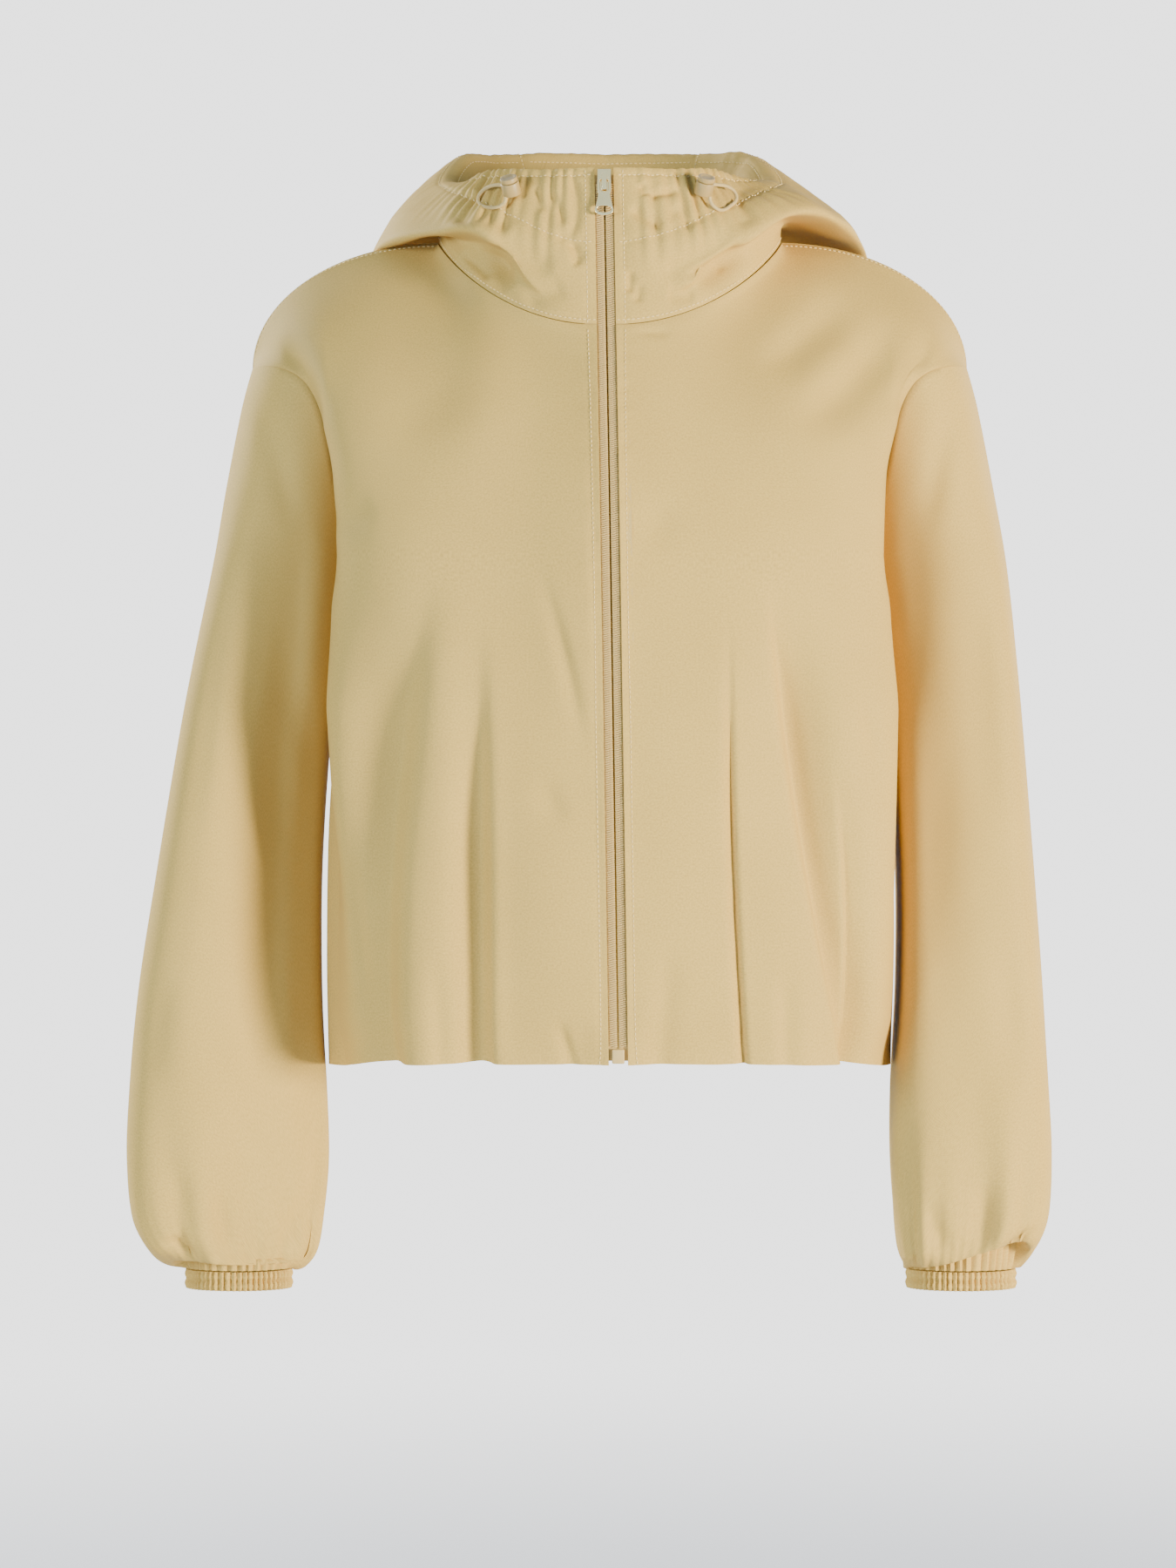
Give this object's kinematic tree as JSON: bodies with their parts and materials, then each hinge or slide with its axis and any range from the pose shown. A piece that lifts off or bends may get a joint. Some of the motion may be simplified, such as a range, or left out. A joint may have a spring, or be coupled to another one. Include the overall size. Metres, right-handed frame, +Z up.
{
  "type": "funnel neck jacket",
  "caption": "Cropped twill jacket held open as if worn, with a full-length front zip, a lowered hood closing as a funnel neck, corded rim, dropped sleeves and gathered cuffs.",
  "frame": {"origin": "midway between the two points where the neck seam meets the shoulder seams, where the jacket rests on the wearer's shoulders", "axes": "+Z up, the front with the zip faces -Y, +X to the right of a viewer in front"},
  "size_m": [0.592, 0.2872, 0.7476],
  "materials": {
    "twill": "smooth cotton twill with a slight sheen, tan",
    "zip_tape": "woven tape, tan",
    "zip_coil": "moulded coil, satin tan",
    "zip_metal": "polished pale gold plate",
    "lock_plastic": "matt tan",
    "cord": "braided cord, pale beige"
  },
  "bodies": {
    "garment": {"front_left": "twill", "front_right": "twill", "back": "twill", "sleeve_left": "twill", "sleeve_right": "twill", "cuff_left": "twill", "cuff_right": "twill", "hood_left": "twill", "hood_right": "twill", "hood_centre": "twill", "zip_tape_left": "zip_tape", "zip_tape_right": "zip_tape", "zip_chain": "zip_coil", "zip_box": "zip_coil", "zip_slider": "zip_metal", "cord_lock_left": "lock_plastic", "cord_lock_right": "lock_plastic", "lock_button_left": "lock_plastic", "lock_button_right": "lock_plastic", "cord_left": "cord", "cord_right": "cord"},
    "pull": {"zip_pull": "zip_metal"}
  },
  "joints": [
    {"name": "pull_swing", "type": "hinge", "parent": "garment", "child": "pull", "pos_m": [-0.00386, -0.0783, 0.03521], "axis": [-1, 0, 0], "range_deg": [0, 150]}
  ]
}
